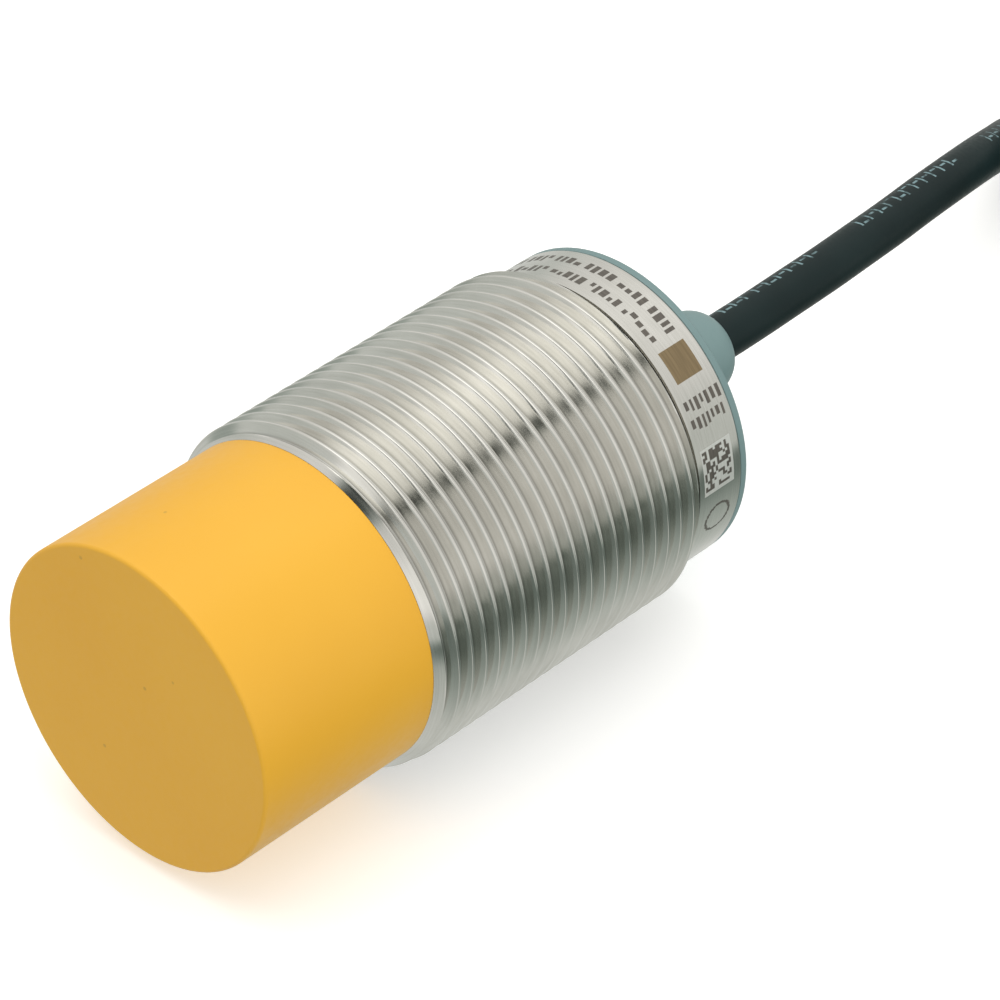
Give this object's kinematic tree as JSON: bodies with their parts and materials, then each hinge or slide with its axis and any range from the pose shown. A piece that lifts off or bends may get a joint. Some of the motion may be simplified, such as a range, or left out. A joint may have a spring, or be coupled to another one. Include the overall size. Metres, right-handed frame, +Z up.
{
  "type": "proximity sensor",
  "caption": "cylindrical inductive proximity sensor: threaded steel barrel, long plastic sensing cap, end cap with domed cable outlet and a fixed cable folded into a tied hank",
  "frame": {"origin": "on the floor under the middle of the sensor's length, cable left out", "axes": "+X along the sensor from its sensing face to its cable, +Z up, the thread's crests resting on Z = 0"},
  "size_m": [0.2293, 0.037, 0.03],
  "materials": {
    "barrel_steel": "turned stainless steel, satin",
    "cap_plastic": "moulded yellow-orange PBT, satin",
    "seal_rubber": "matte",
    "ferrite": "sintered ferrite, dull grey-black",
    "bobbin_plastic": "natural moulded",
    "copper_wire": "enamelled copper",
    "board_laminate": "green solder mask",
    "chip_body": "moulded epoxy",
    "tantalum_body": "moulded epoxy",
    "ceramic_body": "fired ceramic",
    "led_lens": "clear yellow",
    "casting_resin": "cast, glossy",
    "end_cap_plastic": "moulded grey-green, satin",
    "clamp_brass": "plain",
    "cable_jacket": "extruded PVC, satin black",
    "tie_plastic": "moulded black",
    "wire_brown": "extruded insulation",
    "wire_black": "extruded insulation",
    "wire_blue": "extruded insulation",
    "tinned_copper": "tinned, crimped"
  },
  "bodies": {
    "root": {"threaded_barrel": "barrel_steel", "sensing_cap": "cap_plastic", "cap_seal_ring": "seal_rubber", "ferrite_pot_core": "ferrite", "coil_bobbin": "bobbin_plastic", "coil_winding": "copper_wire", "coil_lead_left": "copper_wire", "coil_lead_right": "copper_wire", "core_holder": "bobbin_plastic", "circuit_board": "board_laminate", "oscillator_chip": "chip_body", "voltage_regulator": "chip_body", "output_transistor": "chip_body", "smoothing_capacitor": "tantalum_body", "tuning_capacitor": "ceramic_body", "coupling_capacitor": "ceramic_body", "bypass_capacitor": "ceramic_body", "trim_resistor": "chip_body", "bias_resistor": "chip_body", "base_resistor": "chip_body", "led_resistor": "chip_body", "polarity_diode": "chip_body", "surge_diode": "chip_body", "status_led_left": "led_lens", "status_led_right": "led_lens", "casting_resin": "casting_resin", "rear_end_cap": "end_cap_plastic", "cable_clamp_ring": "clamp_brass", "cable_inner_end": "cable_jacket", "inner_wire_brown": "wire_brown", "inner_wire_black": "wire_black", "inner_wire_blue": "wire_blue", "cable_jacket": "cable_jacket", "cable_hank": "cable_jacket", "cable_tail": "cable_jacket", "hank_tie": "tie_plastic", "free_core_brown": "wire_brown", "free_core_black": "wire_black", "free_core_blue": "wire_blue", "ferrule_brown": "tinned_copper", "ferrule_black": "tinned_copper", "ferrule_blue": "tinned_copper"}
  },
  "joints": []
}
